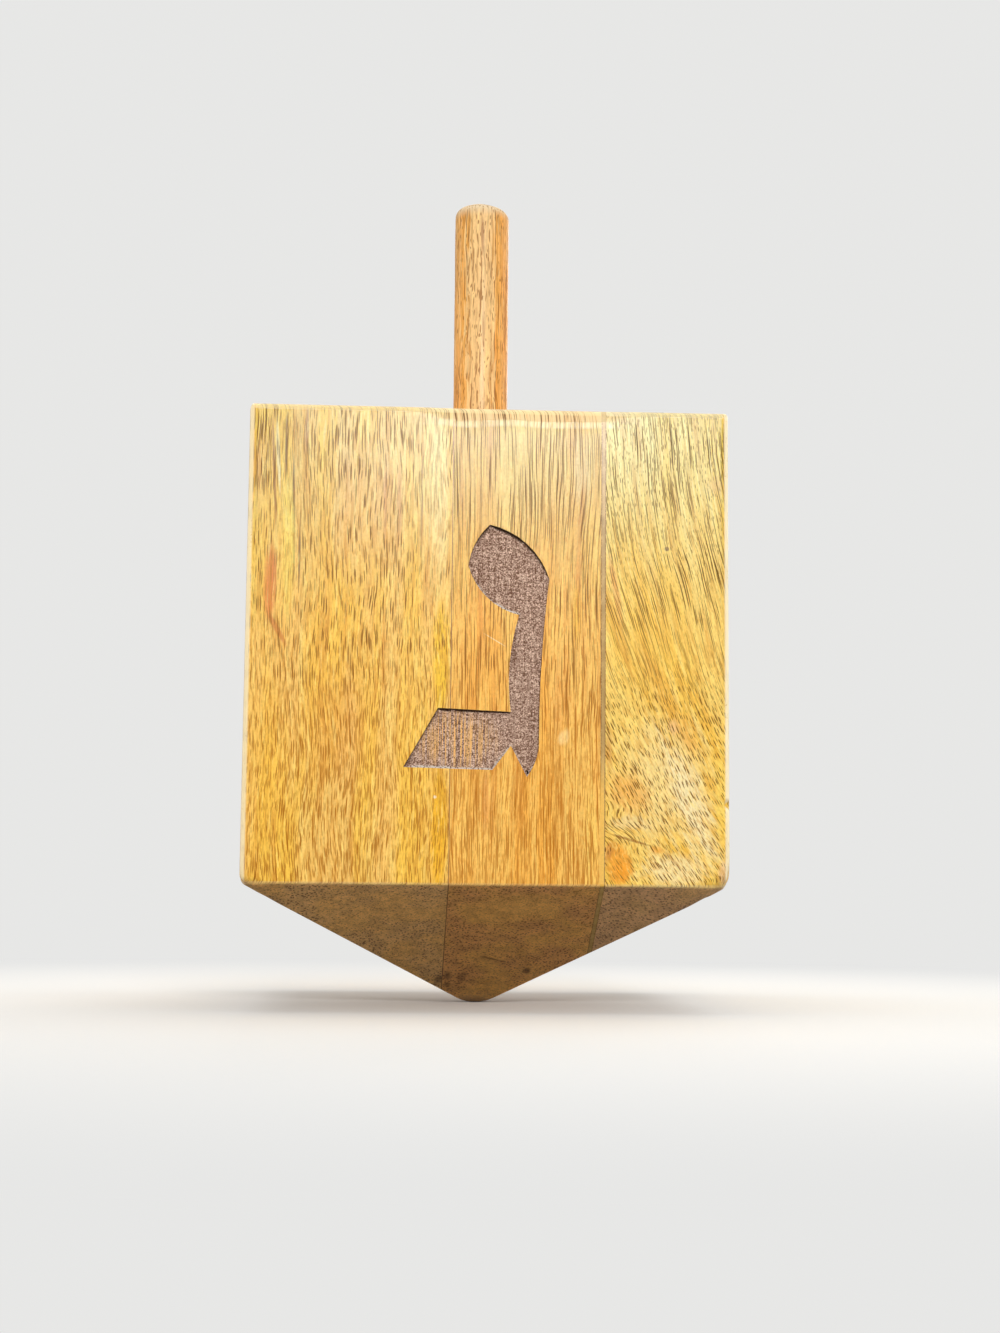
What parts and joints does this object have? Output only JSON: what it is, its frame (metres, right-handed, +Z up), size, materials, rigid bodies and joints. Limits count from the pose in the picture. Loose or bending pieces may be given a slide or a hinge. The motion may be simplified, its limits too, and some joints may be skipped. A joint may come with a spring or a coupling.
{
  "type": "dreidel",
  "caption": "Four-sided wooden spinning top: a block glued up from upright staves, with an engraved letter on each face, a pyramid point below and a dowel handle on top.",
  "frame": {"origin": "lowest point of the rounded tip, on the spin axis", "axes": "+Z up along the spin axis towards the handle, +X to the right of the front face, -Y out of the front face"},
  "size_m": [0.1, 0.1, 0.185],
  "materials": {
    "left_stave_wood": "varnished",
    "middle_stave_wood": "varnished",
    "right_stave_wood": "varnished",
    "glue": "cured wood glue",
    "handle_wood": "varnished"
  },
  "bodies": {
    "root": {"left_stave": "left_stave_wood", "middle_stave": "middle_stave_wood", "right_stave": "right_stave_wood", "left_glue_line": "glue", "right_glue_line": "glue", "handle_dowel": "handle_wood"}
  },
  "joints": []
}
